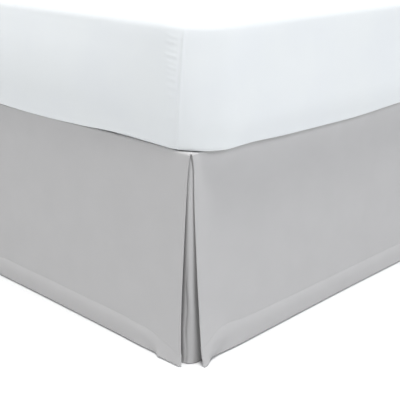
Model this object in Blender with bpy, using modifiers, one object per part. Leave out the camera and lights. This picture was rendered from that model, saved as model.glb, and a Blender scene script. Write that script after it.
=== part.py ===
"""A tailored bed skirt on a plain queen bed.  Metres, +Z up.

The foot of the bed is at -Y, the head at +Y, and the origin is on the floor under the
middle.  The skirt is a flat deck on the bed base, with a drop at the foot and one on
each side.  At the two foot corners the drops fold back on themselves, and an insert
closes the opening between the two folds from behind.
"""
import math
from collections import namedtuple

import bmesh
import bpy
from mathutils import Vector

# ---- the bed -----------------------------------------------------------------------
BASE_WIDTH = 1.500            # a queen box base
BASE_LENGTH = 2.006
BASE_HEIGHT = 0.229
BASE_EDGE = 0.008             # rounding along its top and bottom edges
BASE_CORNER = 0.020           # rounding of its corners, seen from above
LEG_HEIGHT = 0.153
LEG_TOP_RADIUS = 0.027
LEG_FOOT_RADIUS = 0.020
LEG_EDGE = 0.002
LEG_INSET = 0.105             # leg axis to the side and to the end of the base
MATTRESS_WIDTH = 1.530
MATTRESS_LENGTH = 2.034
MATTRESS_HEIGHT = 0.203
MATTRESS_CORNER = 0.082
MATTRESS_TOP_EDGE = 0.026
MATTRESS_LOWER_EDGE = 0.006
MATTRESS_SHIFT_X = 0.023      # it lies a little to one side and towards the foot
MATTRESS_SHIFT_Y = -0.004
FIT = 0.0003                  # between pieces that touch
SEAM = 0.0008                 # between the deck's edge and the drops sewn to it

# ---- the skirt ---------------------------------------------------------------------
CLOTH = 0.0012
DROP = 0.381                  # deck to hem, 15 in
TOP_ROUND = 0.006             # the drop turns in to the deck over this radius
FOLD_PITCH = 0.0018           # centre to centre of the two layers at a folded edge
STANDOFF = 0.0128             # a drop's front face to the side of the base behind it
RETURN_END = 0.077            # the folded-back layer ends this far from the corner
FOOT_RAMP = (0.069, 0.084)    # how far from the corner the foot drop's lift dies out
FOOT_RAMP_ABOVE = (0.020, 0.170)        # the same RAMP_RISE above the hem and higher
SIDE_RAMP = (0.024, 0.060)    # and on a side drop
SIDE_RAMP_ABOVE = (0.016, 0.120)
RAMP_RISE = 0.035
INSERT_DIP = 0.002            # the inserts hang this much lower than the drops
LEFT_OPENING = 0.90           # the -X corner opens this much of what the +X corner does
SWAY = 0.0010                 # the drops hang this much out of true at the hem
SWAY_LENGTH = 0.62            # from one shallow wave to the next
HEAD_MARGIN = 0.001           # the skirt stops this far short of the base's head end

# ---- how finely the cloth is divided -----------------------------------------------
FOLD_STEPS = 4
TOP_STEPS = 4
PLEAT_STATIONS = (0.034, 0.044, 0.054, 0.069, RETURN_END, 0.084, 0.100, 0.160)
MIDDLE_STEPS = 8
INSERT_LEG_STEPS = 3
INSERT_TURN_STEPS = 6
EDGE_STEPS = 3
CORNER_STEPS = 6

# How the pleat at a foot corner opens from the deck down to the hem.  A gap is from the
# corner to the fold, a lift is how far the fold stands out from the drop's own plane, and
# the insert's depth is from that plane back to the middle of its cloth.
PleatRow = namedtuple("PleatRow", "height foot_gap foot_lift side_gap side_lift "
                                  "insert_radius insert_depth")
PLEAT = (
    PleatRow(0.000, 0.0158, 0.0078, 0.0218, 0.0150, 0.0180, 0.0085),
    PleatRow(0.015, 0.0166, 0.0067, 0.0217, 0.0116, 0.0180, 0.0085),
    PleatRow(0.035, 0.0176, 0.0060, 0.0214, 0.0084, 0.0176, 0.0086),
    PleatRow(0.065, 0.0182, 0.0052, 0.0210, 0.0056, 0.0170, 0.0086),
    PleatRow(0.105, 0.0182, 0.0042, 0.0198, 0.0036, 0.0156, 0.0083),
    PleatRow(0.160, 0.0168, 0.0030, 0.0172, 0.0022, 0.0134, 0.0076),
    PleatRow(0.208, 0.0147, 0.0021, 0.0148, 0.0015, 0.0110, 0.0067),
    PleatRow(0.256, 0.0123, 0.0015, 0.0122, 0.0010, 0.0088, 0.0058),
    PleatRow(0.303, 0.0094, 0.0009, 0.0103, 0.0006, 0.0072, 0.0050),
    PleatRow(0.340, 0.0070, 0.0005, 0.0088, 0.0003, 0.0062, 0.0045),
    PleatRow(0.360, 0.0052, 0.0002, 0.0070, 0.0001, 0.0060, 0.0042),
    PleatRow(0.375, 0.0017, 0.0000, 0.0037, 0.0000, 0.0060, 0.0040),
)

# ---- what follows from those -------------------------------------------------------
FRONT_X = BASE_WIDTH / 2 + STANDOFF
FRONT_Y = BASE_LENGTH / 2 + STANDOFF
HEAD_Y = BASE_LENGTH / 2 - HEAD_MARGIN
BASE_BOTTOM = LEG_HEIGHT + FIT
BASE_TOP = BASE_BOTTOM + BASE_HEIGHT
DECK_TOP = BASE_TOP + FIT + CLOTH
HEM_Z = DECK_TOP - DROP
MATTRESS_BOTTOM = DECK_TOP + FIT


def clear_scene():
    for old in list(bpy.data.objects):
        bpy.data.objects.remove(old, do_unlink=True)


def principled(name, colour, roughness, metallic=0.0):
    material = bpy.data.materials.new(name)
    material.use_nodes = True
    shader = material.node_tree.nodes["Principled BSDF"]
    shader.inputs["Base Color"].default_value = (*colour, 1.0)
    shader.inputs["Roughness"].default_value = roughness
    shader.inputs["Metallic"].default_value = metallic
    material.diffuse_color = (*colour, 1.0)
    return material


def place(name, mesh, material, collection, location=(0.0, 0.0, 0.0)):
    """Link a mesh to the model as one named object."""
    piece = bpy.data.objects.new(name, mesh)
    piece.location = location
    if not mesh.materials:
        mesh.materials.append(material)
    collection.objects.link(piece)
    return piece


# ---- cloth -------------------------------------------------------------------------
def smoothstep(start, end, value):
    t = min(1.0, max(0.0, (value - start) / (end - start)))
    return t * t * (3.0 - 2.0 * t)


def cloth_sheet(name, rows, material, collection):
    """A grid laid through rows of points, hem first, and given the cloth's thickness."""
    across = len(rows[0]) - 1
    up = len(rows) - 1
    bm = bmesh.new()
    bmesh.ops.create_grid(bm, x_segments=across, y_segments=up, size=0.5)
    for vertex in bm.verts:
        column = round((vertex.co.x + 0.5) * across)
        row = round((vertex.co.y + 0.5) * up)
        vertex.co = rows[row][column]
    mesh = bpy.data.meshes.new(name)
    bm.to_mesh(mesh)
    bm.free()
    mesh.shade_smooth()
    piece = place(name, mesh, material, collection)
    thicken = piece.modifiers.new("cloth", "SOLIDIFY")
    thicken.thickness = CLOTH
    thicken.offset = 0.0
    thicken.use_even_offset = True
    return piece


def folded_edge(gap, lift, ramp):
    """(along, out) down the middle of the cloth, from the folded-back layer's inner end,
    round the fold and out along the front.  Along is from the corner, out from the plane
    of the drop's face."""
    turn = FOLD_PITCH / 2
    fold_along = gap + CLOTH / 2 + turn
    fold_out = lift - CLOTH / 2 - turn
    front = [(along, lift * (1.0 - smoothstep(*ramp, along)) - CLOTH / 2)
             for along in PLEAT_STATIONS]
    back = [(along, out - FOLD_PITCH) for along, out in front if along <= RETURN_END]
    fold = []
    for step in range(FOLD_STEPS + 1):
        angle = math.pi * (step / FOLD_STEPS - 0.5)
        fold.append((fold_along - turn * math.cos(angle), fold_out + turn * math.sin(angle)))
    return back[::-1] + fold + front


def ramp_at(hem_ramp, ramp_above, height):
    """A drop's lift ends in a sharp kink at the hem and fades softly higher up."""
    soft = smoothstep(0.0, RAMP_RISE, height)
    return [low + (high - low) * soft for low, high in zip(hem_ramp, ramp_above)]


def sway(along, height):
    """The slight unevenness of a hanging drop, nothing at the deck and most at the hem."""
    hang = 1.0 - height / DROP
    return SWAY * hang * math.sin(2.0 * math.pi * along / SWAY_LENGTH)


def middle(start, end, height):
    """The plain stretch between two ends of a drop's front, both left out."""
    line = []
    for step in range(1, MIDDLE_STEPS):
        along = start + (end - start) * step / MIDDLE_STEPS
        line.append((along, sway(along, height) - CLOTH / 2))
    return line


def drop_rows(section, on_bed):
    """Rows of points for a drop, from the hem up and then round to the deck.
    section(row, drawn) gives its (along, out) line for a row of the pleat table, with its
    ends drawn back from the corners, so that two drops meet at a mitre on top."""
    rows = []
    for row in PLEAT:
        rows.append([on_bed(along, out, HEM_Z + row.height) for along, out in section(row, 0.0)])
    last = PLEAT[-1]
    for step in range(1, TOP_STEPS + 1):
        angle = 0.5 * math.pi * step / TOP_STEPS
        drawn = (TOP_ROUND - CLOTH / 2) * (1.0 - math.cos(angle))
        points = []
        for along, hang in section(last, drawn):
            radius = TOP_ROUND + hang
            out = radius * math.cos(angle) - TOP_ROUND
            rise = radius * math.sin(angle)
            points.append(on_bed(along, out, HEM_Z + last.height + rise))
        rows.append(points)
    return rows


def foot_drop(material, collection):
    def section(row, drawn):
        ramp = ramp_at(FOOT_RAMP, FOOT_RAMP_ABOVE, row.height)
        left = folded_edge(row.foot_gap * LEFT_OPENING + drawn, row.foot_lift * LEFT_OPENING, ramp)
        right = folded_edge(row.foot_gap + drawn, row.foot_lift, ramp)
        left = [(along - FRONT_X, out) for along, out in left]
        right = [(FRONT_X - along, out) for along, out in reversed(right)]
        return left + middle(left[-1][0], right[0][0], row.height) + right

    def on_bed(along, out, height):
        return Vector((along, -FRONT_Y - out, height))

    return cloth_sheet("drop_foot", drop_rows(section, on_bed), material, collection)


def side_drop(name, side, opening, material, collection):
    """side is +1 for the +X drop and -1 for the -X one."""
    length = FRONT_Y + HEAD_Y

    def section(row, drawn):
        ramp = ramp_at(SIDE_RAMP, SIDE_RAMP_ABOVE, row.height)
        pleat = folded_edge(row.side_gap * opening + drawn, row.side_lift * opening, ramp)
        line = pleat + middle(pleat[-1][0], length, row.height) + [(length, -CLOTH / 2)]
        return line if side > 0 else line[::-1]

    def on_bed(along, out, height):
        return Vector((side * (FRONT_X + out), along - FRONT_Y, height))

    return cloth_sheet(name, drop_rows(section, on_bed), material, collection)


def insert(name, side, opening, material, collection):
    """The underlay round a foot corner, behind both folded-back layers."""
    rows = []
    for row in PLEAT:
        height = row.height if row.height else -INSERT_DIP
        radius = row.insert_radius * opening
        depth = row.insert_depth
        centre = radius + depth
        line = []
        for step in range(INSERT_LEG_STEPS):
            t = step / INSERT_LEG_STEPS
            line.append((RETURN_END + (centre - RETURN_END) * t, depth))
        for step in range(INSERT_TURN_STEPS + 1):
            angle = 0.5 * math.pi * step / INSERT_TURN_STEPS
            line.append((centre - radius * math.sin(angle), centre - radius * math.cos(angle)))
        for step in range(1, INSERT_LEG_STEPS + 1):
            t = step / INSERT_LEG_STEPS
            line.append((depth, centre + (RETURN_END - centre) * t))
        points = [Vector((side * (FRONT_X - x), y - FRONT_Y, HEM_Z + height)) for x, y in line]
        rows.append(points if side > 0 else points[::-1])
    return cloth_sheet(name, rows, material, collection)


def deck(material, collection):
    """The platform, cut to end where the drops have turned in to meet it."""
    edge = TOP_ROUND + SEAM
    width = 2.0 * (FRONT_X - edge)
    foot = -FRONT_Y + edge
    bm = bmesh.new()
    bmesh.ops.create_cube(bm, size=1.0)
    bmesh.ops.scale(bm, vec=(width, HEAD_Y - foot, CLOTH), verts=bm.verts)
    mesh = bpy.data.meshes.new("deck")
    bm.to_mesh(mesh)
    bm.free()
    centre = (0.0, (HEAD_Y + foot) / 2, DECK_TOP - CLOTH / 2)
    return place("deck", mesh, material, collection, centre)


# ---- the bed -----------------------------------------------------------------------
def edges_at(bm, height):
    return [e for e in bm.edges if all(abs(v.co.z - height) < 1e-6 for v in e.verts)]


def rounded_block(name, size, location, corner, top_edge, lower_edge, material, collection):
    """A block with its upright corners rounded first, then its top and bottom edges."""
    bm = bmesh.new()
    bmesh.ops.create_cube(bm, size=1.0)
    bmesh.ops.scale(bm, vec=size, verts=bm.verts)
    upright = [e for e in bm.edges if abs(e.verts[0].co.z - e.verts[1].co.z) > size[2] / 2]
    bmesh.ops.bevel(bm, geom=upright, offset=corner, segments=CORNER_STEPS, profile=0.5,
                    affect="EDGES")
    for height, radius in ((size[2] / 2, top_edge), (-size[2] / 2, lower_edge)):
        bmesh.ops.bevel(bm, geom=edges_at(bm, height), offset=radius, segments=EDGE_STEPS,
                        profile=0.5, affect="EDGES")
    mesh = bpy.data.meshes.new(name)
    bm.to_mesh(mesh)
    bm.free()
    mesh.shade_smooth()
    mesh.set_sharp_from_angle(angle=math.radians(50.0))
    return place(name, mesh, material, collection, location)


def legs(material, collection):
    bm = bmesh.new()
    bmesh.ops.create_cone(bm, cap_ends=True, segments=24, radius1=LEG_FOOT_RADIUS,
                          radius2=LEG_TOP_RADIUS, depth=LEG_HEIGHT)
    mesh = bpy.data.meshes.new("leg")
    bm.to_mesh(mesh)
    bm.free()
    mesh.shade_smooth()
    mesh.set_sharp_from_angle(angle=math.radians(50.0))
    reach_x = BASE_WIDTH / 2 - LEG_INSET
    reach_y = BASE_LENGTH / 2 - LEG_INSET
    number = 0
    for y in (-reach_y, 0.0, reach_y):
        for x in (-reach_x, reach_x):
            number += 1
            leg = place(f"leg_{number}", mesh, material, collection, (x, y, LEG_HEIGHT / 2))
            edge = leg.modifiers.new("edge", "BEVEL")
            edge.width = LEG_EDGE
            edge.segments = 2
            edge.limit_method = "ANGLE"


def build():
    clear_scene()
    model = bpy.data.collections.new("bed_skirt")
    bpy.context.scene.collection.children.link(model)
    cloth = principled("skirt_cloth", (0.53, 0.53, 0.55), 0.85)
    sheet = principled("white_sheet", (0.83, 0.87, 0.90), 0.85)
    ticking = principled("base_ticking", (0.72, 0.71, 0.68), 0.90)
    wood = principled("leg_wood", (0.16, 0.09, 0.05), 0.45)

    deck(cloth, model)
    foot_drop(cloth, model)
    side_drop("drop_right", 1.0, 1.0, cloth, model)
    side_drop("drop_left", -1.0, LEFT_OPENING, cloth, model)
    insert("insert_right", 1.0, 1.0, cloth, model)
    insert("insert_left", -1.0, LEFT_OPENING, cloth, model)

    rounded_block("mattress", (MATTRESS_WIDTH, MATTRESS_LENGTH, MATTRESS_HEIGHT),
                  (MATTRESS_SHIFT_X, MATTRESS_SHIFT_Y, MATTRESS_BOTTOM + MATTRESS_HEIGHT / 2),
                  MATTRESS_CORNER, MATTRESS_TOP_EDGE, MATTRESS_LOWER_EDGE, sheet, model)
    rounded_block("bed_base", (BASE_WIDTH, BASE_LENGTH, BASE_HEIGHT),
                  (0.0, 0.0, BASE_BOTTOM + BASE_HEIGHT / 2),
                  BASE_CORNER, BASE_EDGE, BASE_EDGE, ticking, model)
    legs(wood, model)


build()
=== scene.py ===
"""A tailored bed skirt on a queen bed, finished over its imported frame.  Metres, +Z up.

The foot of the bed is at -Y and the head at +Y.  Every place comes from the frame's boxes.
The skirt is six cut pieces: the deck, three drops and two pleat inserts.  A drop is a thin
sheet described by three numbers for each of its points: along, the distance from the foot
corner; out, how far it stands out from the drop's own plane; and height above the hem.
"""
import math
from collections import namedtuple

import bmesh
import bpy
import numpy as np
from mathutils import Matrix, Vector


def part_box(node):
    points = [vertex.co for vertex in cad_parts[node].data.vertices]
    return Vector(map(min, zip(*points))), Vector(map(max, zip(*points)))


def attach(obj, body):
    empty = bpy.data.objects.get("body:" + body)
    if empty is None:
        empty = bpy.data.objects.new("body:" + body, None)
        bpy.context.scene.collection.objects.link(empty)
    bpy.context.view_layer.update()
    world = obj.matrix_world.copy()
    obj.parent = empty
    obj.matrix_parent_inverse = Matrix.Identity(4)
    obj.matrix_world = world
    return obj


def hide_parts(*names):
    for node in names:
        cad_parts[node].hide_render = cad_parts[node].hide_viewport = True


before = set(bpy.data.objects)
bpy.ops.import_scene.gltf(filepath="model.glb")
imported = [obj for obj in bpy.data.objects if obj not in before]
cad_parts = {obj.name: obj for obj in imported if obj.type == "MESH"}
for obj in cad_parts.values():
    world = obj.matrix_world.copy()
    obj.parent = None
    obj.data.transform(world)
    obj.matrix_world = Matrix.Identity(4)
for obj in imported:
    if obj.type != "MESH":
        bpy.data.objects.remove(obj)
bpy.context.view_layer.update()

BODY = "root"

# ---- sizes that the frame gives ----
DECK_INSET = 0.0068           # from the drops' outer faces in to the deck's edge
DECK_LOW, DECK_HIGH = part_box("deck")
FRONT_X = DECK_HIGH.x + DECK_INSET              # the drops' outer faces
FRONT_Y = -DECK_LOW.y + DECK_INSET
HEAD_Y = DECK_HIGH.y
DECK_TOP = DECK_HIGH.z
HEM_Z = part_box("drop_foot")[0].z
DROP = DECK_TOP - HEM_Z
INSERT_DIP = HEM_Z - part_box("insert_right")[0].z        # the inserts hang this much lower
BASE_LOW, BASE_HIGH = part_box("bed_base")
MATTRESS_LOW, MATTRESS_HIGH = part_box("mattress")

# ---- the skirt's cloth ----
TOP_ROUND = 0.003             # a drop turns in to the deck over this radius
SEAM = 0.0004                 # between the deck's edge and the drops
CLOTH = 0.0009                # brushed microfibre with its finish
HEM_CLOTH = 0.0017            # the turned-up hem, two layers pressed together
LAYER_AIR = 0.0007            # between the two layers of a folded edge
RETURN_END = 0.077            # a folded-back layer ends this far from the corner
EDGE_REACH = 0.160            # past this the drop's threads hang straight
LEFT_OPENING = 0.90           # the -X corner opens this much of what the +X corner does
SWAY = 0.0010                 # the drops hang this much out of true at the hem
SWAY_LENGTH = 0.62            # from one shallow wave to the next
PRESSED = 0.0004              # a pressed fold rounds back by this much
PRESSED_WIDTH = 0.005
HEM_TURN = 0.050              # cloth turned up inside at a hem
SEAM_ALLOWANCE = 0.010
WEAVE_TILE = 0.001            # one unit of the cloth's UV map is this long

# How a foot corner's pleat opens from the deck down to the hem.  A gap is from the corner to
# the fold, a lift is how far the fold stands out from the drop's own plane, and the insert's
# depth is from that plane back to the middle of its cloth.
PleatRow = namedtuple("PleatRow", "height foot_gap foot_lift side_gap side_lift "
                                  "insert_radius insert_depth")
PLEAT = (
    PleatRow(0.000, 0.0158, 0.0078, 0.0218, 0.0150, 0.0180, 0.0085),
    PleatRow(0.015, 0.0166, 0.0067, 0.0217, 0.0116, 0.0180, 0.0085),
    PleatRow(0.035, 0.0176, 0.0060, 0.0214, 0.0084, 0.0176, 0.0086),
    PleatRow(0.065, 0.0182, 0.0052, 0.0210, 0.0056, 0.0170, 0.0086),
    PleatRow(0.105, 0.0182, 0.0042, 0.0199, 0.0036, 0.0156, 0.0083),
    PleatRow(0.160, 0.0168, 0.0030, 0.0172, 0.0022, 0.0134, 0.0072),
    PleatRow(0.208, 0.0149, 0.0021, 0.0148, 0.0015, 0.0110, 0.0060),
    PleatRow(0.256, 0.0126, 0.0015, 0.0123, 0.0010, 0.0088, 0.0049),
    PleatRow(0.303, 0.0101, 0.0009, 0.0105, 0.0006, 0.0072, 0.0043),
    PleatRow(0.340, 0.0077, 0.0005, 0.0096, 0.0003, 0.0062, 0.0040),
    PleatRow(0.362, 0.0058, 0.0002, 0.0083, 0.0001, 0.0058, 0.0039),
    PleatRow(0.378, 0.0020, 0.0000, 0.0048, 0.0000, 0.0058, 0.0038),
)
TOP_ROW = PLEAT[-1].height
MITRE_CLOSING = 0.0003        # the drops draw this much nearer where they turn in

# A hem: its stitch line's height at places along the drop from the foot corner, how far the
# cloth steps out under the line and over what height, how far its edge curls back in, and how
# far its edge stands out near the corner, where it does not curl.
Hem = namedtuple("Hem", "places line step settle curl flare")
FOOT_HEM = Hem(places=(0.000, 0.030, 0.042, 0.060, 0.080, 0.100, 0.125, 0.180, 0.300),
               line=(0.0175, 0.0240, 0.0285, 0.0305, 0.0360, 0.0405, 0.0400, 0.0420, 0.0420),
               step=0.0034, settle=0.0110, curl=0.0018, flare=0.0006)
SIDE_HEM = Hem(places=(0.000, 0.024, 0.036, 0.046, 0.062, 0.082, 0.130, 0.216, 0.308, 0.440, 0.700),
               line=(0.0350, 0.0360, 0.0386, 0.0436, 0.0496, 0.0528, 0.0483, 0.0460, 0.0446, 0.0434,
                     0.0430),
               step=0.0036, settle=0.0110, curl=0.0012, flare=0.0)
CURL_REACH = (0.100, 0.200)   # the hem curls back only this far from the corner and on
STEP_REACH = (0.030, 0.130)   # and its step grows out over this distance from the corner

# A drop: its table columns, where its lift dies out at the hem and from RAMP_RISE up, its
# hem, and how much lower its folded edge hangs.
Drop = namedtuple("Drop", "side ramp ramp_above hem droop droop_reach")
RAMP_RISE = 0.035
FOOT = Drop("foot", (0.069, 0.084), (0.020, 0.170), FOOT_HEM, 0.0, (0.069, 0.084))
SIDE = Drop("side", (0.024, 0.060), (0.016, 0.120), SIDE_HEM, 0.0025, (0.015, 0.065))
CORNER_SAG = 0.0010           # the skirt's top sags this much at a foot corner
SAG_REACH = (0.010, 0.085)    # and this far along the edges from it
SAG_WIDTH = (0.004, 0.022)    # and this far in from them


# ---- small mathematics ----
def smoothstep(start, end, value):
    t = np.clip((np.asarray(value, float) - start) / (end - start), 0.0, 1.0)
    return t * t * (3.0 - 2.0 * t)


def spread(start, end, count, crowd=1.0):
    """count + 1 numbers from start to end, crowded towards start where crowd is over 1."""
    return start + (end - start) * np.linspace(0.0, 1.0, count + 1) ** crowd


def smooth_curve(knots, values, at):
    """A smooth curve through a short table, level beyond both its ends."""
    knots, values = np.asarray(knots), np.asarray(values)
    slopes = np.gradient(values, knots)
    at = np.clip(at, knots[0], knots[-1])
    k = np.clip(np.searchsorted(knots, at, side="right") - 1, 0, len(knots) - 2)
    span = knots[k + 1] - knots[k]
    t = (at - knots[k]) / span
    return (values[k] * (1 + 2 * t) * (1 - t) ** 2 + slopes[k] * span * t * (1 - t) ** 2
            + values[k + 1] * t * t * (3 - 2 * t) + slopes[k + 1] * span * t * t * (t - 1))


def pleat(column, height):
    """A column of the pleat table at any height."""
    return smooth_curve([row.height for row in PLEAT], [getattr(row, column) for row in PLEAT],
                        height)


# ---- meshes ----
def join_part(piece, material, node):
    """Give a piece its material, put it on the part's one body and, if it has one, in place
    of its CAD node."""
    piece.data.materials.clear()
    piece.data.materials.append(material)
    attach(piece, BODY)
    if node:
        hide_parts(node)


def finish_piece(name, mesh, material, node):
    """Link a finished mesh, shaded smooth, as a piece of the part."""
    piece = bpy.data.objects.new(name, mesh)
    bpy.context.scene.collection.objects.link(piece)
    piece.data.shade_smooth()
    join_part(piece, material, node)
    return piece


def grid_faces(rows, columns, first=0):
    """The quads of a grid of points numbered row by row from first."""
    row, column = np.meshgrid(np.arange(rows - 1), np.arange(columns - 1), indexing="ij")
    corner = (first + row * columns + column).ravel()
    return np.stack([corner, corner + 1, corner + columns + 1, corner + columns], axis=1)


def sheet_mesh(name, middle, thickness, flat):
    """A closed thin mesh about a grid of points.  middle is (rows, columns, 3), thickness
    (rows, columns), and flat (rows, columns, 2) is each point's place on the flat cloth."""
    rows, columns = middle.shape[:2]
    down, across = np.gradient(middle, axis=0), np.gradient(middle, axis=1)
    normal = np.cross(across, down)
    normal /= np.maximum(np.linalg.norm(normal, axis=2, keepdims=True), 1e-12)
    half = normal * thickness[..., None] / 2
    points = np.concatenate([(middle + half).reshape(-1, 3), (middle - half).reshape(-1, 3)])
    count = rows * columns
    faces = grid_faces(rows, columns).tolist()
    faces += grid_faces(rows, columns, count)[:, ::-1].tolist()
    number = np.arange(count).reshape(rows, columns)
    border = [*number[0, :], *number[1:, -1], *number[-1, -2::-1], *number[-2:0:-1, 0]]
    border = [int(i) for i in border]
    for here, after in zip(border, border[1:] + border[:1]):
        faces.append([after, here, here + count, after + count])
    mesh = bpy.data.meshes.new(name)
    mesh.from_pydata(points.tolist(), [], faces)
    uv = np.concatenate([flat.reshape(-1, 2)] * 2) / WEAVE_TILE
    corners = np.zeros(len(mesh.loops), np.int32)
    mesh.loops.foreach_get("vertex_index", corners)
    mesh.uv_layers.new(name="flat").data.foreach_set("uv", uv[corners].ravel())
    face_outwards(mesh)
    return mesh


def face_outwards(mesh):
    bm = bmesh.new()
    bm.from_mesh(mesh)
    bmesh.ops.recalc_face_normals(bm, faces=bm.faces)
    bm.to_mesh(mesh)
    bm.free()


# ---- the drops ----
RETURN_STEPS = 8
FOLD_STEPS = 8
EDGE_STEPS = 34
STRAIGHT_STEP = 0.006         # between the columns of a drop's plain stretch
BELOW_LINE = (0.0, 0.006, 0.02, 0.045, 0.09, 0.16, 0.26, 0.38, 0.50, 0.62, 0.72, 0.80, 0.86, 0.91,
              0.95, 0.98, 1.0)         # rows, as shares of the stitch line's height
ABOVE_LINE = (0.0010, 0.0022, 0.0035, 0.0050, 0.0070, 0.0095, 0.0130, 0.0180)     # and above it
UPPER_STEPS = 34
TOP_STEPS = 8
HEM_ROUND = 0.0011            # the hem's edge is rounded over this height
SIDE_HEM_WIDTH = 0.012        # the narrow hem down a drop's free end

# A drop's grid while it is worked out, all its arrays (rows, columns), rows from the hem up:
# along, out and height place the middle of the cloth, and flat and up its place when flat.
Grid = namedtuple("Grid", "along out height thick flat up")


def join_grids(grids, axis):
    return Grid(*(np.concatenate(arrays, axis=axis) for arrays in zip(*grids)))


def hem_line(hem, along):
    return smooth_curve(hem.places, hem.line, along)


def heights(line):
    """Each row's height for each column, crowded about the column's stitch line."""
    below = np.outer(BELOW_LINE, line)
    above = line + np.array(ABOVE_LINE)[:, None]
    upper = above[-1] + np.linspace(0.0, 1.0, UPPER_STEPS + 1)[1:, None] * (TOP_ROW - above[-1])
    return np.vstack([below, above, upper])


def layers(height, line):
    """How thick the cloth is: two layers up to the stitch line, and one above it."""
    return CLOTH + (HEM_CLOTH - CLOTH) * (1.0 - smoothstep(-0.0004, 0.0012, height - line))


def rounded_edge(height):
    """The share of its thickness that a hem keeps near its lower edge."""
    share = np.clip(height / HEM_ROUND, 0.0, 1.0)
    return np.maximum(0.22, np.sqrt(share * (2.0 - share)))


def hem_shape(hem, along, height, line):
    """The hem steps out under its stitch line, puckers along it, and curls back at its edge."""
    away = smoothstep(*CURL_REACH, along)
    below = np.maximum(line - height, 0.0)
    step = hem.step * np.tanh(below / hem.settle) * smoothstep(*STEP_REACH, along)
    edge = hem.flare * (1.0 - away) * below / line - hem.curl * away * (below / line) ** 2.5
    pucker = 0.00010 * np.sin(along * 2 * math.pi / 0.023 + 2.1 * np.sin(along * 19.0))
    stitched = np.exp(-((height - line) / 0.0045) ** 2) * smoothstep(0.02, 0.06, along)
    return step + edge + pucker * stitched


def corner_sag(from_corner, inwards):
    """How much the skirt's top sags, by the distance along its edge and in from it."""
    return (CORNER_SAG * (1.0 - smoothstep(*SAG_REACH, from_corner))
            * (1.0 - smoothstep(*SAG_WIDTH, inwards)))


def lift_at(drop, along, height):
    """How far a folded edge stands out, fading along the drop: sharply at the hem."""
    soft = smoothstep(0.0, RAMP_RISE, height)
    start = drop.ramp[0] + (drop.ramp_above[0] - drop.ramp[0]) * soft
    end = drop.ramp[1] + (drop.ramp_above[1] - drop.ramp[1]) * soft
    return pleat(drop.side + "_lift", height) * (1.0 - smoothstep(start, end, along))


def outer_face(drop, along, height, line, fold_along, opening):
    """How far a drop's outer face stands out from its plane."""
    hang = np.clip(1.0 - height / DROP, 0.0, 1.0)
    swing = SWAY * hang * np.sin(2 * math.pi * along / SWAY_LENGTH)
    swing = swing * smoothstep(0.0, EDGE_REACH, along)
    back = np.clip(1.0 - (along - fold_along) / PRESSED_WIDTH, 0.0, 1.0) ** 2
    out = lift_at(drop, along, height) * opening + swing - PRESSED * back
    return out + hem_shape(drop.hem, along, height, line)


def folded_edge(drop, opening):
    """One folded edge, from the folded-back layer's inner end to where the drop hangs
    straight."""
    back = np.arange(RETURN_STEPS + FOLD_STEPS + EDGE_STEPS + 1) < RETURN_STEPS
    fold = ~back & (np.arange(len(back)) < RETURN_STEPS + FOLD_STEPS)
    share = np.concatenate([spread(1.0, 0.0, RETURN_STEPS)[:-1], spread(0.0, 1.0, FOLD_STEPS)[:-1],
                            spread(0.0, 1.0, EDGE_STEPS, crowd=1.7)])
    hem_gap = getattr(PLEAT[0], drop.side + "_gap")
    reach = np.where(back, RETURN_END, EDGE_REACH)
    nominal = np.where(fold, hem_gap, hem_gap + (reach - hem_gap) * share)
    line = hem_line(drop.hem, nominal)
    height = heights(line)
    thick = layers(height, line)
    turn = (thick + LAYER_AIR) / 2
    fold_along = pleat(drop.side + "_gap", height) * opening + thick / 2 + turn
    station = np.where(fold, fold_along, fold_along + (reach - fold_along) * share)
    face = outer_face(drop, station, height, line, fold_along, opening)
    angle = math.pi * (share - 0.5)
    middle = face - thick / 2
    along = np.where(fold, fold_along - turn * np.cos(angle), station)
    out = np.where(fold, middle - turn + turn * np.sin(angle),
                   np.where(back, middle - 2 * turn, middle))
    low = drop.droop * (1.0 - smoothstep(*drop.droop_reach, station))
    flat = np.where(back, 2 * hem_gap - nominal, nominal)
    return Grid(along, out, height - low * (1.0 - smoothstep(0.0, 0.10, height)),
                thick * rounded_edge(height), np.broadcast_to(flat, height.shape), height)


def plain_stretch(drop, start, end, total):
    """The stretch past a folded edge, whose columns stand plumb.  Where it runs to the free
    end of the drop, it ends in a narrow hem."""
    free = end == total
    count = max(2, round((end - start) / STRAIGHT_STEP))
    along = np.linspace(start, end, count + 1)[1:]
    if free:
        along = np.append(along[along < total - SIDE_HEM_WIDTH - 0.001],
                          total - np.array([1.0, 0.9, 0.7, 0.4, 0.1, 0.0]) * SIDE_HEM_WIDTH)
    else:
        along = along[:-1]
    from_corner = along if free else np.minimum(along, total - along)
    line = hem_line(drop.hem, from_corner)
    height = heights(line)
    along = np.broadcast_to(along, height.shape)
    face = outer_face(drop, along, height, line, 0.0, 1.0)
    thick = layers(height, line)
    if free:
        thick = thick + (HEM_CLOTH - CLOTH) * smoothstep(1.02, 0.94, (total - along)
                                                        / SIDE_HEM_WIDTH)
    return Grid(along, face - thick / 2, height, thick * rounded_edge(height), along, height)


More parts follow.
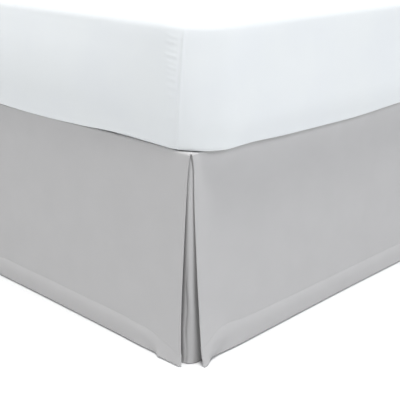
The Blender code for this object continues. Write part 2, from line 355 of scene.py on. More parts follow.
def turned_in(body, total, far_folded):
    """The rows that carry the top of a drop round to the deck, a quarter turn."""
    last = Grid(*(array[-1] for array in body))
    rows = []
    for step in range(1, TOP_STEPS + 1):
        angle = 0.5 * math.pi * step / TOP_STEPS
        shift = TOP_ROUND * (1.0 - math.cos(angle)) - MITRE_CLOSING * step / TOP_STEPS
        pull = shift * (1.0 - smoothstep(0.0, EDGE_REACH, last.along))
        if far_folded:
            pull = pull - shift * (1.0 - smoothstep(0.0, EDGE_REACH, total - last.along))
        radius = TOP_ROUND + last.out
        row = Grid(last.along + pull, radius * math.cos(angle) - TOP_ROUND,
                   TOP_ROW + radius * math.sin(angle), np.full_like(radius, CLOTH),
                   last.flat, last.up + TOP_ROUND * angle)
        rows.append(Grid(*(array[None, :] for array in row)))
    return rows


def drop_grid(drop, total, openings):
    """The whole grid of a drop.  openings has a number for each end, None for a free one."""
    far_folded = openings[1] is not None
    parts = [folded_edge(drop, openings[0]),
             plain_stretch(drop, EDGE_REACH, total - EDGE_REACH if far_folded else total, total)]
    if far_folded:
        far = folded_edge(drop, openings[1])
        far = far._replace(along=total - far.along, flat=total - far.flat)
        parts.append(Grid(*(array[:, ::-1] for array in far)))
    body = join_grids(parts, axis=1)
    grid = join_grids([body, *turned_in(body, total, far_folded)], axis=0)
    from_corner = np.abs(np.minimum(grid.along, total - grid.along) if far_folded
                         else grid.along)
    sag = corner_sag(from_corner, 0.0) * smoothstep(0.5 * DROP, TOP_ROW, grid.height)
    return grid._replace(height=grid.height - sag)


# ---- stitches ----
STITCH_PITCH = 0.0030
STITCH_LENGTH = 0.0021
STITCH_WIDTH = 0.0006
STITCH_RISE = 0.0003
THREAD_SIDES = 6
# A stitch's rings: how far along it each is, and its share of the full width.
THREAD_RINGS = ((0.0, 0.45), (0.18, 0.9), (0.5, 1.0), (0.82, 0.9), (1.0, 0.45))


def stitch_row(name, points, away, thread):
    """A row of lock stitches along a line of points, as one joined mesh of their short
    threads, sunk half into the cloth.  away is the direction that the cloth faces."""
    steps = np.linalg.norm(np.diff(points, axis=0), axis=1)
    run = np.concatenate([[0.0], np.cumsum(steps)])
    count = int(run[-1] / STITCH_PITCH)
    starts = (np.arange(count) + 0.2) * STITCH_PITCH
    ends = starts + STITCH_LENGTH
    first = np.stack([np.interp(starts, run, points[:, k]) for k in range(3)], axis=1)
    last = np.stack([np.interp(ends, run, points[:, k]) for k in range(3)], axis=1)
    away = np.array(away)
    way = last - first
    across = np.cross(way, away)
    across *= STITCH_WIDTH / 2 / np.linalg.norm(across, axis=1, keepdims=True)
    rings = []
    for share, size in THREAD_RINGS:
        centre = first + way * share
        for turn in range(THREAD_SIDES):
            angle = turn * 2 * math.pi / THREAD_SIDES
            rings.append(centre + across * math.cos(angle) * size
                         + away * STITCH_RISE * math.sin(angle) * size)
    points = np.stack(rings, axis=1).reshape(-1, 3)
    faces = []
    for ring in range(len(THREAD_RINGS) - 1):
        for turn in range(THREAD_SIDES):
            a, b = (ring * THREAD_SIDES + (turn + k) % THREAD_SIDES for k in (0, 1))
            faces.append((a, b, b + THREAD_SIDES, a + THREAD_SIDES))
    total = len(THREAD_RINGS) * THREAD_SIDES
    faces += [tuple(range(THREAD_SIDES))[::-1], tuple(range(total - THREAD_SIDES, total))]
    every = [tuple(i + number * total for i in face) for number in range(count)
             for face in faces]
    mesh = bpy.data.meshes.new(name)
    mesh.from_pydata(points.tolist(), [], every)
    face_outwards(mesh)
    return finish_piece(name, mesh, thread, None)


# ---- the drops, hung ----
def hem_stitches(name, grid, on_bed, free_end, thread):
    """The stitches along a drop's hem, on its outer face, from one fold to the other."""
    row, fold = len(BELOW_LINE) - 1, RETURN_STEPS + FOLD_STEPS + 1
    seen = slice(fold, -3 if free_end else -fold)
    along, out, height, thick = (array[row, seen] for array in grid[:4])
    line = np.stack(on_bed(along, out + thick / 2, HEM_Z + height), axis=1)
    away = np.array(on_bed(0.0, 1.0, 0.0)) - on_bed(0.0, 0.0, 0.0)
    return stitch_row(name, line, away, thread)


def hang(name, grid, on_bed, materials, node, flat, free_end):
    """A drop's grid as a piece of cloth with the stitches of its hem."""
    cloth, thread = materials
    middle = np.stack(on_bed(grid.along, grid.out, HEM_Z + grid.height), axis=2)
    mesh = sheet_mesh(name, middle, grid.thick, np.stack([grid.flat, grid.up], axis=2))
    piece = finish_piece(name, mesh, cloth, node)
    stitches = hem_stitches(name + "_stitches", grid, on_bed, free_end, thread)
    return piece


def make_drops(materials):
    cut = DROP + HEM_TURN + SEAM_ALLOWANCE
    foot_length = 2 * FRONT_X
    folded_back = RETURN_END + SEAM_ALLOWANCE
    hang("foot_drop_cloth", drop_grid(FOOT, foot_length, (1.0, LEFT_OPENING)),
         lambda along, out, z: (FRONT_X - along, -FRONT_Y - out, z), materials, "drop_foot",
         (foot_length + 2 * folded_back, cut), False)
    side_length = FRONT_Y + HEAD_Y
    for name, way, opening in (("right", 1.0, 1.0), ("left", -1.0, LEFT_OPENING)):
        hang(name + "_drop_cloth", drop_grid(SIDE, side_length, (opening, None)),
             lambda along, out, z, way=way: (way * (FRONT_X + out), along - FRONT_Y, z), materials,
             "drop_" + name, (side_length + folded_back + SIDE_HEM_WIDTH, cut), True)


# ---- the inserts and the deck ----
INSERT_LEG_STEPS = 8
INSERT_TURN_STEPS = 28
INSERT_ROWS = 50
INSERT_LINE = 0.045           # its stitch line above its hem


def insert_ripple(around, height):
    """The soft upright ripples of an insert between the two folds, by its share of the way
    round its corner."""
    low = 1.0 - smoothstep(0.10, 0.24, height)
    dent = 0.0011 * np.exp(-((around - 0.24 - 0.05 * np.sin(height * 75.0)) / 0.09) ** 2)
    swell = 0.0006 * np.sin(6.3 * around + 31.0 * height)
    return (swell - dent) * low


def make_insert(name, way, opening, cloth):
    """The underlay round a foot corner, an L in plan with a soft round corner."""
    height = np.concatenate([[0.0, 0.0004, 0.0011, 0.0022],
                             np.linspace(0.004, TOP_ROW, INSERT_ROWS)])[:, None]
    radius = pleat("insert_radius", height) * opening
    depth = pleat("insert_depth", height)
    centre = radius + depth
    leg = np.linspace(0.0, 1.0, INSERT_LEG_STEPS + 1)[None, :-1]
    share = np.linspace(0.0, 1.0, INSERT_TURN_STEPS + 1)[None, :]
    angle = 0.5 * math.pi * share
    reach = RETURN_END + (centre - RETURN_END) * leg
    behind = depth + 0.0 * reach
    turned = radius + insert_ripple(share, height)
    across = np.concatenate([reach, centre - turned * np.sin(angle), behind], axis=1)
    deep = np.concatenate([behind, centre - turned * np.cos(angle), reach[:, ::-1]], axis=1)
    height = np.broadcast_to(height, across.shape)
    dip = INSERT_DIP * (1.0 - smoothstep(0.0, 0.05, height))
    dip = dip + corner_sag(np.maximum(across, deep), 0.0) * smoothstep(0.5 * DROP, TOP_ROW, height)
    middle = np.stack([way * (FRONT_X - across), deep - FRONT_Y, HEM_Z + height - dip], axis=2)
    steps = np.linalg.norm(np.diff(middle, axis=1), axis=2)
    flat = np.concatenate([np.zeros((len(steps), 1)), np.cumsum(steps, axis=1)], axis=1)
    thick = layers(height, INSERT_LINE) * rounded_edge(height)
    full_name = name + "_insert_cloth"
    mesh = sheet_mesh(full_name, middle, thick, np.stack([flat, height], axis=2))
    piece = finish_piece(full_name, mesh, cloth, "insert_" + name)
    return piece


def make_deck(cloth):
    """The platform, its edges dipping into the seam with the drops."""
    half = FRONT_X - TOP_ROUND - SEAM
    foot = TOP_ROUND + SEAM - FRONT_Y
    dip = np.array([0.0, 0.0006, 0.0014, 0.0026, 0.005, 0.009, 0.014, 0.020, 0.028])
    x = np.concatenate([dip - half, np.linspace(0.04 - half, half - 0.04, 40), (half - dip)[::-1]])
    y = np.concatenate([foot + dip, np.linspace(foot + 0.04, HEAD_Y - 0.04, 54),
                        (HEAD_Y - dip)[::-1]])
    grid_x, grid_y = np.meshgrid(x, y, indexing="xy")
    to_edge = np.minimum(half - np.abs(grid_x), grid_y - foot)
    sink = 0.0005 * (1.0 - smoothstep(0.0, 0.0022, to_edge))
    along_x, along_y = FRONT_X - np.abs(grid_x), grid_y + FRONT_Y
    sink = sink + corner_sag(np.maximum(along_x, along_y), np.minimum(along_x, along_y))
    middle = np.stack([grid_x, grid_y, DECK_TOP - CLOTH / 2 - sink], axis=2)
    flat = np.stack([grid_x + half, grid_y - foot], axis=2)
    mesh = sheet_mesh("deck_cloth", middle, np.full_like(grid_x, CLOTH), flat)
    piece = finish_piece("deck_cloth", mesh, cloth, "deck")
    return piece


# ---- the mattress in its fitted sheet ----
MATTRESS_CORNER = 0.082
TOP_EDGE = 0.014
LOWER_EDGE = 0.005
UNDERSIDE = 0.030                     # the underside is worked out this far in from the side
# How far the overhanging lower edge hangs, by distance from the corner: on the +X side, and
# at the foot.
SIDE_LIP = ((0.03, 0.0000), (0.08, 0.0018), (0.13, 0.0012), (0.21, 0.0048), (0.31, 0.0070),
            (0.44, 0.0090), (0.60, 0.0048), (0.90, 0.0036), (1.30, 0.0034), (1.70, 0.0030),
            (2.00, 0.0000))
FOOT_LIP = ((0.05, 0.0000), (0.10, 0.0026), (0.20, 0.0056), (0.30, 0.0086), (0.38, 0.0108),
            (0.55, 0.0098), (0.77, 0.0080))
LIP_CLEAR = 0.0015                    # it clears the drops by this much
CORNER_INSET = 0.050                  # the top's own grid of faces starts this far in
CROWN = 0.006
# How far a side swells past its straight line, by height above the underside.
SWELL = ((0.000, -0.0026), (0.007, 0.0000), (0.020, 0.0028), (0.045, 0.0070), (0.085, 0.0092),
         (0.135, 0.0072), (0.172, 0.0028), (0.193, 0.0002), (0.203, 0.0000))
# A column's shares of the swelling and of the tuck below: at both ends of a corner, whose
# middle has no tuck, and along a side and an end by distance from the corner.
CORNER_SHARES = (0.30, 0.40)
SIDE_SHARES = ((0.00, 0.30, 0.40), (0.30, 0.12, 1.00), (1.00, 0.10, 1.00))
END_SHARES = ((0.00, 0.30, 0.40), (0.10, 0.90, 0.75), (0.20, 1.20, 0.60), (0.36, 1.40, 0.60),
              (0.50, 1.40, 0.70), (0.70, 1.30, 0.70))
# How far the lower part draws in, where the sheet is pulled under, by height.
TUCK = ((0.000, -0.0075), (0.005, -0.0055), (0.010, -0.0041), (0.015, -0.0030), (0.020, -0.0021),
        (0.030, -0.0008), (0.045, 0.0000))
# A corner's seam leans: height, and degrees round from the foot or head end's face.
SEAM_TURN = ((0.000, 20.5), (0.203, 28.8))
SEAM_RISE = 0.0011
SEAM_WIDTH = 0.0024
ARC_STEPS = 72
SIDE_STEPS = 100
LONG_STEPS = 70
SHORT_STEPS = 54
# Puckers that the corner seam draws in: height at the seam, length, slope, rise, width.
Pucker = namedtuple("Pucker", "height reach slope rise width")
PUCKERS = (Pucker(0.176, 0.038, 0.24, 0.0004, 0.0028), Pucker(0.168, 0.040, 0.20, 0.0005, 0.0030),
           Pucker(0.157, 0.036, 0.18, 0.0004, 0.0028), Pucker(0.148, 0.038, 0.18, 0.0006, 0.0032),
           Pucker(0.138, 0.036, 0.16, 0.0004, 0.0028), Pucker(0.130, 0.034, 0.18, 0.0005, 0.0032),
           Pucker(0.121, 0.035, 0.20, 0.0003, 0.0030), Pucker(0.112, 0.030, 0.18, 0.0004, 0.0034),
           Pucker(0.100, 0.033, 0.16, 0.0003, 0.0038), Pucker(0.086, 0.030, 0.14, 0.0003, 0.0044),
           Pucker(0.052, 0.026, 0.10, 0.0003, 0.0050))


def mattress_outline():
    """The columns of the mattress's side: each has an anchor, the centre of its corner or
    a place in line with it, the angle it faces, and its shares of the swelling and tuck."""
    half_x = (MATTRESS_HIGH.x - MATTRESS_LOW.x) / 2 - MATTRESS_CORNER
    half_y = (MATTRESS_HIGH.y - MATTRESS_LOW.y) / 2 - MATTRESS_CORNER
    corners = ((1, -1, LONG_STEPS), (1, 1, SHORT_STEPS), (-1, 1, LONG_STEPS),
               (-1, -1, SHORT_STEPS))
    columns = []                      # anchor x, anchor y, angle, swelling, tuck
    for number, (side_x, side_y, steps) in enumerate(corners):
        start = (number - 1) * 0.5 * math.pi
        here = np.array([side_x * half_x, side_y * half_y])
        after = corners[(number + 1) % 4]
        there = np.array([after[0] * half_x, after[1] * half_y])
        for t in np.linspace(0.0, 1.0, ARC_STEPS + 1):
            columns.append((*here, start + 0.5 * math.pi * t, CORNER_SHARES[0],
                            CORNER_SHARES[1] * (2.0 * t - 1.0) ** 2))
        gap = float(np.linalg.norm(there - here))
        places, swelling, tucked = np.array(SIDE_SHARES if steps == LONG_STEPS else END_SHARES).T
        for t in np.linspace(0.0, 1.0, steps + 1)[1:-1]:
            away = min(t, 1.0 - t) * gap
            columns.append((*(here + (there - here) * t), start + 0.5 * math.pi,
                            smooth_curve(places, swelling, away),
                            smooth_curve(places, tucked, away)))
    return np.array(columns)


def mattress_profile():
    """Heights and insets up a side: the underside's rim, the lower edge, the side, the top
    edge, and a little way in over the top."""
    tall = MATTRESS_HIGH.z - MATTRESS_LOW.z
    quarter = np.linspace(0.0, 0.5 * math.pi, 9)
    rim = spread(LOWER_EDGE, UNDERSIDE, 6)[:0:-1]
    side = spread(LOWER_EDGE, tall - TOP_EDGE, SIDE_STEPS, crowd=1.25)[1:-1]
    inward = spread(TOP_EDGE, CORNER_INSET, 6)[1:]
    height = np.concatenate([0.0 * rim, LOWER_EDGE * (1.0 - np.cos(quarter)), side,
                             tall - TOP_EDGE * (1.0 - np.sin(quarter)), tall + 0.0 * inward])
    inset = np.concatenate([rim, LOWER_EDGE * (1.0 - np.sin(quarter)), 0.0 * side,
                            TOP_EDGE * (1.0 - np.cos(quarter)), inward])
    return height[:, None], inset[:, None]


def corner_details(angle, height):
    """How far the corner seams and their puckers stand out from the side."""
    turn = np.mod(angle + 0.5 * math.pi, math.pi)        # 0 at the foot's and head's faces
    turn = np.minimum(turn, math.pi - turn)
    seam = np.radians(np.interp(height, *zip(*SEAM_TURN)))
    beside = (seam - turn) * MATTRESS_CORNER             # towards the foot or head end
    tall = MATTRESS_HIGH.z - MATTRESS_LOW.z
    fade = 1.0 - smoothstep(tall - 0.030, tall - 0.004, height)
    rise = SEAM_RISE * np.exp(-(beside / SEAM_WIDTH) ** 2) * fade
    rise -= 0.4 * SEAM_RISE * np.exp(-((beside - 0.0042) / 0.0022) ** 2) * fade
    for pucker in PUCKERS:
        line = pucker.height + pucker.slope * beside
        share = beside / pucker.reach
        along = smoothstep(0.03, 0.40, share) * (1.0 - smoothstep(0.55, 1.0, share))
        rise += pucker.rise * along * np.exp(-((height - line) / pucker.width) ** 2)
    return rise


def soft_swell(x, y, z):
    """The large, slight unevenness of a stretched sheet."""
    return (0.0010 * np.sin(5.3 * x + 2.1 * y + 9.0 * z + 0.7) * np.sin(3.7 * y - 4.1 * x + 1.9)
            + 0.0006 * np.sin(13.0 * x - 7.0 * y + 21.0 * z) * np.sin(9.0 * x + 11.0 * y))


def patch(bottom, right, top, left):
    """A grid of points inside four edges that meet at their ends, each running in +X or +Y."""
    u = np.linspace(0.0, 1.0, len(bottom))[None, :, None]
    v = np.linspace(0.0, 1.0, len(left))[:, None, None]
    ruled = (1 - v) * bottom[None] + v * top[None] + (1 - u) * left[:, None] + u * right[:, None]
    corners = ((1 - u) * (1 - v) * bottom[0] + u * (1 - v) * bottom[-1]
               + (1 - u) * v * top[0] + u * v * top[-1])
    return ruled - corners


def make_mattress(sheet_material):
    columns = mattress_outline()
    centre = (MATTRESS_LOW + MATTRESS_HIGH) / 2
    angle, fullness, tucked = columns[:, 2:].T
    height, inset = mattress_profile()
    swell = smooth_curve(*np.array(SWELL).T, height) * fullness
    swell = swell + smooth_curve(*np.array(TUCK).T, height) * tucked
    radius = MATTRESS_CORNER - inset + swell
    x = centre.x + columns[:, 0] + np.cos(angle) * radius
    y = centre.y + columns[:, 1] + np.sin(angle) * radius
    lip = (smooth_curve(*np.array(SIDE_LIP).T, y - MATTRESS_LOW.y)
           * smoothstep(LIP_CLEAR, 2 * LIP_CLEAR, x - FRONT_X))
    from_corner = np.minimum(x - MATTRESS_LOW.x, MATTRESS_HIGH.x - x)
    lip = np.maximum(lip, smooth_curve(*np.array(FOOT_LIP).T, from_corner)
                     * smoothstep(LIP_CLEAR, 2 * LIP_CLEAR, -FRONT_Y - y))
    height = height + 0.0 * x
    z = MATTRESS_LOW.z + height - lip * (1.0 - smoothstep(0.0, 0.045, height))
    side = smoothstep(0.010, 0.040, height) * (1.0 - smoothstep(0.178, 0.198, height))
    rise = corner_details(angle[None, :], height) + soft_swell(x, y, z) * side
    x, y = x + np.cos(angle) * rise, y + np.sin(angle) * rise
    ring = np.stack([x, y, z], axis=2)
    rows, count = ring.shape[:2]

    # the top, a grid between the corners' middles
    edge = np.roll(ring[-1], ARC_STEPS // 2 * -1, axis=0)
    number = np.roll(np.arange(count) + (rows - 1) * count, ARC_STEPS // 2 * -1)
    long_way, short_way = ARC_STEPS + LONG_STEPS, ARC_STEPS + SHORT_STEPS
    ends = np.cumsum([0, long_way, short_way, long_way, short_way])
    closed, closed_number = np.vstack([edge, edge[:1]]), np.append(number, number[0])
    right, top, left, bottom = (closed[a:b + 1] for a, b in zip(ends, ends[1:]))
    inner = patch(bottom, right, top[::-1], left[::-1])
    grid = np.zeros(inner.shape[:2], int)
    grid[:, -1], grid[-1, ::-1], grid[::-1, 0], grid[0, :] = (
        closed_number[a:b + 1] for a, b in zip(ends, ends[1:]))
    inside = inner[1:-1, 1:-1].reshape(-1, 3)
    grid[1:-1, 1:-1] = rows * count + np.arange(len(inside)).reshape(grid.shape[0] - 2, -1)

    points = np.concatenate([ring.reshape(-1, 3), inside])
    from_centre = np.abs(points[:, :2] - [centre.x, centre.y])
    half = np.array([MATTRESS_HIGH.x - MATTRESS_LOW.x, MATTRESS_HIGH.y - MATTRESS_LOW.y]) / 2
    in_from_edge = np.min(half - from_centre, axis=1)
    upper = points[:, 2] > MATTRESS_HIGH.z - 1e-6
    crowned = smoothstep(TOP_EDGE, 0.30, in_from_edge) * upper
    points[:, 2] += crowned * (CROWN + 1.5 * soft_swell(points[:, 0], points[:, 1], 0.0))

    around = np.arange(count)
    strip = np.stack([around, np.roll(around, -1), np.roll(around, -1) + count,
                      around + count], axis=1)
    faces = np.concatenate([strip + row * count for row in range(rows - 1)]).tolist()
    faces += np.stack([grid[:-1, :-1], grid[:-1, 1:], grid[1:, 1:], grid[1:, :-1]],
                      axis=2).reshape(-1, 4).tolist()
    faces.append(around[::-1].tolist())
    mesh = bpy.data.meshes.new("fitted_mattress")
    mesh.from_pydata(points.tolist(), [], faces)
    face_outwards(mesh)
    piece = finish_piece("fitted_mattress", mesh, sheet_material, "mattress")
    return piece


# ---- modelling with Blender's tools ----
def start_from(add_primitive, name, **size):
    """A new primitive with nothing else selected, open in edit mode."""
    bpy.ops.object.select_all(action="DESELECT")
    add_primitive(**size)
    piece = bpy.context.object
    piece.name = name
    piece.data.name = name
    bpy.ops.object.transform_apply(location=True, rotation=True, scale=True)
    bpy.ops.object.mode_set(mode="EDIT")
    return piece


def pick(piece, faces=None, edges=None):
    """Select, in edit mode, just the faces or the edges that a test accepts."""
    bpy.ops.mesh.select_mode(type="FACE" if faces else "EDGE")
    bpy.ops.mesh.select_all(action="DESELECT")
    bm = bmesh.from_edit_mesh(piece.data)
    for item in (bm.faces if faces else bm.edges):
        item.select_set((faces or edges)(item))
    bm.select_flush_mode()
    bmesh.update_edit_mesh(piece.data)


def finish_object(piece, material, node, smooth_angle=40.0):
    """Leave edit mode, shade, and make it a piece in place of its CAD node."""
    bpy.ops.object.mode_set(mode="OBJECT")
    bpy.ops.object.shade_smooth_by_angle(angle=math.radians(smooth_angle))
    join_part(piece, material, node)


# ---- the base and its legs ----
BASE_CORNER = 0.020
BASE_EDGE = 0.008
BORDER_CUTS = 8
BORDER_CUTS_FROM = 0.022              # from the top and bottom of the base
PIPING_RADIUS = 0.0026
PIPING_PROUD = 0.0013                 # past the base's side
PIPING_INSET = 0.011                  # from the top and bottom of the base


def make_base(ticking):
    """A closed box base in ticking, with rounded edges and its border cut across in rows. Its
    pipings near its top and its bottom edge are made by make_piping."""
    centre = (BASE_LOW + BASE_HIGH) / 2
    size = BASE_HIGH - BASE_LOW
    base = start_from(bpy.ops.mesh.primitive_cube_add, "box_base", size=1.0, location=centre,
                      scale=size)
    pick(base, edges=lambda e: abs(e.verts[0].co.z - e.verts[1].co.z) > size.z / 2)
    bpy.ops.mesh.bevel(offset=BASE_CORNER, segments=8, affect="EDGES")
    pick(base, edges=lambda e: abs(e.verts[0].co.z - e.verts[1].co.z) < 1e-5)
    bpy.ops.mesh.bevel(offset=BASE_EDGE, segments=6, affect="EDGES")
    for height in np.linspace(BASE_LOW.z + BORDER_CUTS_FROM, BASE_HIGH.z - BORDER_CUTS_FROM,
                              BORDER_CUTS):
        bpy.ops.mesh.select_all(action="SELECT")
        bpy.ops.mesh.bisect(plane_co=(0, 0, height), plane_no=(0, 0, 1))
    finish_object(base, ticking, "bed_base")
    return base


def make_piping(ticking, name, height):
    """One piping, a round cord in ticking all the way round the base."""
    reach_x = (BASE_HIGH.x - BASE_LOW.x) / 2 + PIPING_PROUD - PIPING_RADIUS
    reach_y = (BASE_HIGH.y - BASE_LOW.y) / 2 + PIPING_PROUD - PIPING_RADIUS
    ring = start_from(bpy.ops.mesh.primitive_plane_add, name, size=1.0,
                      location=(0.0, 0.0, height), scale=(2 * reach_x, 2 * reach_y, 1.0))
    pick(ring, faces=lambda f: True)
    bpy.ops.mesh.delete(type="ONLY_FACE")
    bpy.ops.mesh.select_all(action="SELECT")
    bpy.ops.mesh.bevel(offset=BASE_CORNER, segments=8, affect="VERTICES")
    bpy.ops.object.mode_set(mode="OBJECT")
    bpy.ops.object.convert(target="CURVE")
    ring.data.bevel_depth = PIPING_RADIUS
    ring.data.bevel_resolution = 3
    bpy.ops.object.convert(target="MESH")
    bpy.ops.object.mode_set(mode="EDIT")
    bpy.ops.mesh.select_all(action="SELECT")
    bpy.ops.mesh.remove_doubles(threshold=0.00005)
    bpy.ops.mesh.normals_make_consistent(inside=False)
    finish_object(bpy.context.object, ticking, None)


LEG_EDGE = 0.0015
LEG_FOOT = 0.0200
# A turned leg above its foot: height and radius.
LEG_STEPS = ((0.016, 0.0206), (0.050, 0.0219), (0.090, 0.0236), (0.124, 0.0250), (0.127, 0.0238),
             (0.131, 0.0238), (0.134, 0.0262), (0.148, 0.0270))


def make_leg(wood, number):
    """A tapered turned leg with a groove under its collar."""
    low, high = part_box(f"leg_{number}")
    centre = (low + high) / 2
    first = LEG_STEPS[0][0]
    leg = start_from(bpy.ops.mesh.primitive_cylinder_add, f"turned_leg_{number}", vertices=40,
                     radius=LEG_FOOT, depth=first, location=(centre.x, centre.y, first / 2))
    pick(leg, faces=lambda f: f.normal.z > 0.9)
    below, width = first, LEG_FOOT
    for height, radius in (*LEG_STEPS[1:], (high.z, LEG_STEPS[-1][1])):
        bpy.ops.mesh.extrude_region_move(TRANSFORM_OT_translate={"value": (0, 0, height - below)})
        bpy.ops.transform.resize(value=(radius / width, radius / width, 1.0),
                                 center_override=(centre.x, centre.y, height))
        below, width = height, radius
    pick(leg, edges=lambda e: all(abs(v.co.z - e.verts[0].co.z) < 1e-6 for v in e.verts)
         and (e.verts[0].co.z < 1e-4 or e.verts[0].co.z > high.z - 1e-4))
    bpy.ops.mesh.bevel(offset=LEG_EDGE, segments=3, affect="EDGES")
    finish_object(leg, wood, f"leg_{number}", smooth_angle=35.0)


# ---- materials ----
def linear(hex_colour):
    """An sRGB hex colour as linear RGBA."""
    channels = [int(hex_colour[i:i + 2], 16) / 255 for i in (0, 2, 4)]
    return [c / 12.92 if c <= 0.04045 else ((c + 0.055) / 1.055) ** 2.4 for c in channels] + [1.0]


def new_material(name, **settings):
    """A material and its shader, with uniform values set on the shader's own sockets."""
    material = bpy.data.materials.new(name)
    material.use_nodes = True
    shader = material.node_tree.nodes["Principled BSDF"]
    for socket, value in settings.items():
        shader.inputs[socket.replace("_", " ")].default_value = value
    return material, shader


def add_node(material, kind, inputs=None, **settings):
    """Add a node, give it its settings, and set or link its inputs."""
    node = material.node_tree.nodes.new("ShaderNode" + kind)
    for name, value in settings.items():
        setattr(node, name, value)
    for socket, value in (inputs or {}).items():
        if isinstance(value, bpy.types.NodeSocket):
            material.node_tree.links.new(value, node.inputs[socket])
        else:
            node.inputs[socket].default_value = value
    return node


def object_place(material):
    return add_node(material, "TexCoord").outputs["Object"]


def link(material, output, shader, socket):
    material.node_tree.links.new(output, shader.inputs[socket])


MM = 0.001
WAVE = 0.314159               # a wave texture of this scale repeats once in each unit


def threads(material, place, pitch, direction):
    """Raised threads side by side, pitch apart in the units of the place they are read at."""
    wave = add_node(material, "TexWave", {"Vector": place, "Scale": WAVE / pitch},
                    bands_direction=direction, wave_profile="SIN")
    return wave.outputs["Fac"]


def mixed(material, share, dark, light, low, high):
    """A colour between two, by a noise's value between low and high."""
    ramp = add_node(material, "ValToRGB", {"Fac": share})
    ramp.color_ramp.elements[0].position, ramp.color_ramp.elements[0].color = low, linear(dark)
    ramp.color_ramp.elements[1].position, ramp.color_ramp.elements[1].color = high, linear(light)
    return ramp.outputs["Color"]


def noise(material, place, size, detail=2.0):
    """A noise whose lumps are about size across in the units of the place."""
    return add_node(material, "TexNoise", {"Vector": place, "Scale": 1.0 / size,
                                           "Detail": detail}).outputs["Fac"]


def bump(material, height, distance, strength, below=None):
    inputs = {"Height": height, "Distance": distance, "Strength": strength}
    if below:
        inputs["Normal"] = below
    return add_node(material, "Bump", inputs).outputs["Normal"]


def microfibre():
    """Brushed polyester microfibre, plain woven: matt, with a short peach nap that lightens
    at glancing angles, and no gloss."""
    material, shader = new_material("brushed_microfibre", Roughness=0.9, Specular_IOR_Level=0.25,
                                    Sheen_Weight=0.12, Sheen_Roughness=0.5)
    flat = add_node(material, "UVMap", uv_map="flat").outputs["UV"]       # in millimetres
    tone = mixed(material, noise(material, flat, 70.0, 3.0), "B3B2B2", "B5B4B4", 0.35, 0.65)
    link(material, tone, shader, "Base Color")
    weft = threads(material, flat, 0.45, "X")                  # threads 0.45 mm apart
    warp = threads(material, flat, 0.45, "Y")
    weave = add_node(material, "Math", {0: weft, 1: warp}, operation="MULTIPLY").outputs["Value"]
    woven = bump(material, weave, 0.00004, 0.25)
    nap = bump(material, noise(material, flat, 1.4, 3.0), 0.00008, 0.30, woven)
    limp = bump(material, noise(material, flat, 45.0, 2.0), 0.0012, 0.05, nap)
    link(material, limp, shader, "Normal")
    return material


def sewing_thread():
    """Spun polyester thread, dyed to match the skirt: a little darker and slightly glossy."""
    material, shader = new_material("spun_polyester_thread", Roughness=0.6, Specular_IOR_Level=0.4)
    place = object_place(material)
    tone = mixed(material, noise(material, place, 0.8 * MM, 1.0), "A4A3A3", "ABAAAA", 0.35, 0.65)
    link(material, tone, shader, "Base Color")
    ply = threads(material, place, 0.3 * MM, "DIAGONAL")       # twisted, a turn each 0.3 mm
    link(material, bump(material, ply, 0.00003, 0.4), shader, "Normal")
    return material


def percale():
    """Cotton percale, bleached white and stretched: crisp and matt, faintly blue."""
    material, shader = new_material("percale_sheet", Roughness=0.8, Specular_IOR_Level=0.3,
                                    Sheen_Weight=0.10, Sheen_Roughness=0.4)
    place = object_place(material)
    tone = mixed(material, noise(material, place, 0.11, 3.0), "DADDDF", "DCDFE0", 0.35, 0.65)
    link(material, tone, shader, "Base Color")
    across = threads(material, place, 0.35 * MM, "X")          # threads 0.35 mm apart
    along = threads(material, place, 0.35 * MM, "Y")
    upward = threads(material, place, 0.35 * MM, "Z")
    grid = add_node(material, "Math", {0: across, 1: along}, operation="ADD").outputs["Value"]
    grid = add_node(material, "Math", {0: grid, 1: upward}, operation="ADD").outputs["Value"]
    woven = bump(material, grid, 0.00002, 0.2)
    soft = bump(material, noise(material, place, 0.035, 2.0), 0.0008, 0.05, woven)
    link(material, soft, shader, "Normal")
    return material


def ticking_cloth():
    """Woven polyester ticking: off-white twill, a little slubbed, with a dull surface."""
    material, shader = new_material("woven_ticking", Roughness=0.85, Specular_IOR_Level=0.3)
    place = object_place(material)
    slub = mixed(material, noise(material, place, 0.004, 4.0), "D9D6CF", "E1DED8", 0.3, 0.7)
    link(material, slub, shader, "Base Color")
    # a twill's lines are 0.8 mm apart, drawn 1.6 mm apart so that they show
    twill = threads(material, place, 1.6 * MM, "DIAGONAL")
    woven = bump(material, twill, 0.0001, 0.35)
    link(material, bump(material, noise(material, place, 0.06), 0.004, 0.1, woven), shader,
         "Normal")
    return material


def stained_beech():
    """Beech, turned, stained dark brown and varnished: close grain along the leg with fine
    dark flecks, under a satin coat."""
    material, shader = new_material("stained_beech", Roughness=0.42, Coat_Weight=0.25,
                                    Coat_Roughness=0.25)
    place = object_place(material)
    drawn = add_node(material, "Mapping", {"Vector": place, "Scale": (1.0, 1.0, 0.06)})
    grain = noise(material, drawn.outputs["Vector"], 0.0035, 5.0)         # grain 3.5 mm wide
    fleck = noise(material, drawn.outputs["Vector"], 0.0007, 2.0)
    both = add_node(material, "Math", {0: grain, 1: fleck}, operation="ADD").outputs["Value"]
    half = add_node(material, "Math", {0: both, 1: 0.5}, operation="MULTIPLY").outputs["Value"]
    link(material, mixed(material, half, "3A2418", "6A4630", 0.38, 0.62), shader, "Base Color")
    link(material, bump(material, half, 0.0002, 0.3), shader, "Normal")
    return material


def pale_floor():
    """A painted studio floor: matt, nearly white, with the faintest unevenness."""
    material, shader = new_material("pale_matt_floor", Roughness=0.9, Specular_IOR_Level=0.2)
    place = object_place(material)
    tone = mixed(material, noise(material, place, 0.6, 2.0), "E7E7E7", "E9E9E9", 0.3, 0.7)
    link(material, tone, shader, "Base Color")
    return material


# ---- light, floor and camera ----
WORLD_LIGHT = 0.12
FLOOR_SIZE = 24.0


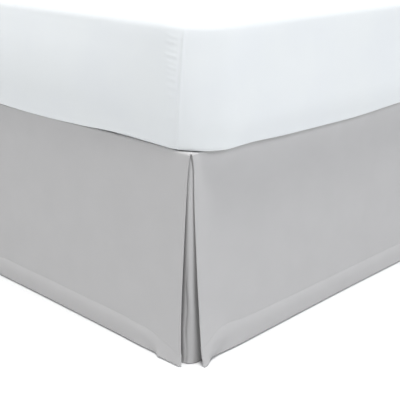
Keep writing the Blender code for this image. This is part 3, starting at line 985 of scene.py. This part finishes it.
def make_stage():
    bpy.ops.object.select_all(action="DESELECT")
    bpy.ops.mesh.primitive_plane_add(size=FLOOR_SIZE, location=(0.0, 0.0, 0.0))
    floor = bpy.context.object
    floor.name = "floor"
    floor.data.materials.append(pale_floor())

    world = bpy.data.worlds.new("studio")
    bpy.context.scene.world = world
    world.use_nodes = True
    sky = world.node_tree.nodes["Background"].inputs
    sky["Color"].default_value = linear("FFFFFF")
    sky["Strength"].default_value = WORLD_LIGHT


def softbox(name, turn, rise, away, size, watts, colour, aim):
    """A softbox away from what it aims at: turn from the foot's side towards +X, and rise,
    both in degrees."""
    turn, rise = math.radians(turn), math.radians(rise)
    way = Vector((math.sin(turn) * math.cos(rise), -math.cos(turn) * math.cos(rise),
                  math.sin(rise)))
    light = bpy.data.lights.new(name, "AREA")
    light.shape = "RECTANGLE"
    light.size, light.size_y = size
    light.energy = watts
    light.color = linear(colour)[:3]
    lamp = bpy.data.objects.new(name, light)
    lamp.location = Vector(aim) + way * away
    lamp.rotation_euler = (-way).to_track_quat("-Z", "Y").to_euler()
    bpy.context.scene.collection.objects.link(lamp)


def make_lights():
    corner = (FRONT_X, -FRONT_Y, 0.25)
    softbox("foot_softbox", -26.0, 32.0, 4.8, (1.7, 1.7), 100.5, "FBFDFF", corner)
    softbox("side_softbox", 102.0, 32.0, 4.6, (1.7, 1.7), 112.0, "F8FBFF", corner)
    softbox("overhead", 50.0, 80.0, 5.6, (1.0, 1.0), 256.0, "FFFFFF", corner)
    softbox("head_softbox", 205.0, 34.0, 7.0, (3.0, 3.0), 150.0, "FFFFFF", (0.0, 0.0, 0.30))


CAMERA_TURN = 43.72           # degrees from the foot towards +X
CAMERA_TILT = 18.59           # down
CAMERA_ROLL = 0.41
CAMERA_PLACE = (0.9026, -0.9213, 0.7390)      # from the foot corner at the hem
CAMERA_LENS = 76.36           # mm, over a 36 mm sensor


def make_camera():
    turn, tilt, roll = (math.radians(a) for a in (CAMERA_TURN, CAMERA_TILT, CAMERA_ROLL))
    forward = Vector((-math.sin(turn) * math.cos(tilt), math.cos(turn) * math.cos(tilt),
                      -math.sin(tilt)))
    level = Vector((math.cos(turn), math.sin(turn), 0.0))
    upward = level.cross(forward)
    right = math.cos(roll) * level + math.sin(roll) * upward
    up = -math.sin(roll) * level + math.cos(roll) * upward
    camera = bpy.data.objects.new("camera", bpy.data.cameras.new("camera"))
    bpy.context.scene.collection.objects.link(camera)
    camera.matrix_world = Matrix((
        (right.x, up.x, -forward.x, FRONT_X + CAMERA_PLACE[0]),
        (right.y, up.y, -forward.y, -FRONT_Y + CAMERA_PLACE[1]),
        (right.z, up.z, -forward.z, HEM_Z + CAMERA_PLACE[2]),
        (0.0, 0.0, 0.0, 1.0)))
    camera.data.sensor_width = 36.0
    camera.data.lens = CAMERA_LENS
    bpy.context.scene.camera = camera
    bpy.context.scene.view_settings.view_transform = "Standard"


# ---- the whole bed ----
make_camera()
make_lights()
make_stage()
skirt_cloth = microfibre()
base_cloth = ticking_cloth()
leg_wood = stained_beech()
make_drops((skirt_cloth, sewing_thread()))
make_insert("right", 1.0, 1.0, skirt_cloth)
make_insert("left", -1.0, LEFT_OPENING, skirt_cloth)
make_deck(skirt_cloth)
make_mattress(percale())
make_base(base_cloth)
make_piping(base_cloth, "upper_piping", BASE_HIGH.z - PIPING_INSET)
make_piping(base_cloth, "lower_piping", BASE_LOW.z + PIPING_INSET)
for leg_number in range(1, 7):
    make_leg(leg_wood, leg_number)
